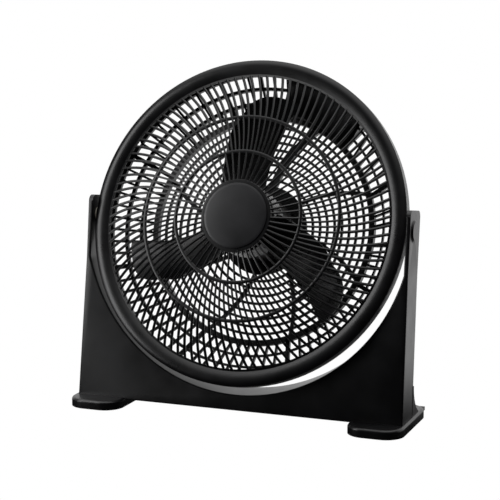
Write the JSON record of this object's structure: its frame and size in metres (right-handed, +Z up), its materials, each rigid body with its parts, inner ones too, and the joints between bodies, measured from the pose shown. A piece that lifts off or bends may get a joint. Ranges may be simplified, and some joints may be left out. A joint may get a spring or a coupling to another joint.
{
  "type": "floor fan",
  "caption": "Round floor fan whose guarded head tilts between the arms of a slim U-shaped stand on splayed feet, with a speed knob at the back.",
  "frame": {"origin": "on the floor under the middle of the fan's box", "axes": "+Z up, -Y towards the front of the fan, +X to the right seen from the front"},
  "size_m": [0.478, 0.2166, 0.4773],
  "materials": {
    "black_plastic": "satin black moulded plastic with a fine grain",
    "guard_plastic": "satin black moulded plastic",
    "cap_plastic": "dark grey semi-gloss plastic, bare",
    "blade_plastic": "semi-gloss black plastic",
    "knob_plastic": "satin black plastic",
    "black_rubber": "dull black rubber",
    "zinc_steel": "zinc-plated steel",
    "ground_steel": "ground steel",
    "nylon": "natural nylon",
    "cast_aluminium": "die-cast aluminium",
    "laminated_steel": "stacked electrical steel",
    "copper": "enamelled copper wire",
    "bronze": "sintered bronze",
    "switch_plastic": "off-white plastic",
    "lead_sheath": "black insulated leads"
  },
  "bodies": {
    "stand": {"stand_front_shell": "black_plastic", "stand_rear_shell": "black_plastic", "stand_screws": "zinc_steel", "left_foot": "black_plastic", "right_foot": "black_plastic", "foot_pads": "black_rubber", "foot_screws": "zinc_steel", "left_pivot_cover": "black_plastic", "right_pivot_cover": "black_plastic", "pivot_washers": "nylon"},
    "head": {"rear_housing": "black_plastic", "front_guard": "guard_plastic", "guard_cap": "cap_plastic", "guard_screws": "zinc_steel", "pivot_bolts": "zinc_steel", "wire_channel_cover": "black_plastic", "motor_leads": "lead_sheath", "control_cover": "black_plastic", "control_screws": "zinc_steel", "cord_gland": "black_rubber", "speed_switch": "switch_plastic", "motor_rear_bracket": "cast_aluminium", "motor_front_bracket": "cast_aluminium", "motor_stator": "laminated_steel", "motor_windings": "copper", "motor_bushes": "bronze", "motor_bolts": "zinc_steel", "motor_mount_screws": "zinc_steel", "capacitor": "switch_plastic", "motor_cover": "black_plastic", "motor_cover_screws": "zinc_steel"},
    "rotor": {"fan_wheel": "blade_plastic", "blade_nut": "blade_plastic", "motor_shaft": "ground_steel", "drive_pin": "ground_steel", "rotor_core": "laminated_steel"},
    "knob": {"speed_knob": "knob_plastic", "switch_shaft": "ground_steel"}
  },
  "joints": [
    {"name": "head_tilt", "type": "hinge", "parent": "stand", "child": "head", "pos_m": [0, -0.02426, 0.261], "axis": [-1, 0, 0], "range_deg": [-18, 72]},
    {"name": "blade_spin", "type": "hinge", "parent": "head", "child": "rotor", "pos_m": [0, -0.02426, 0.261], "axis": [0, 0.9511, -0.309], "continuous": true},
    {"name": "knob_turn", "type": "hinge", "parent": "head", "child": "knob", "pos_m": [0.07945, 0.09496, 0.40142], "axis": [0, -0.9511, 0.309], "range_deg": [0, 135]}
  ]
}
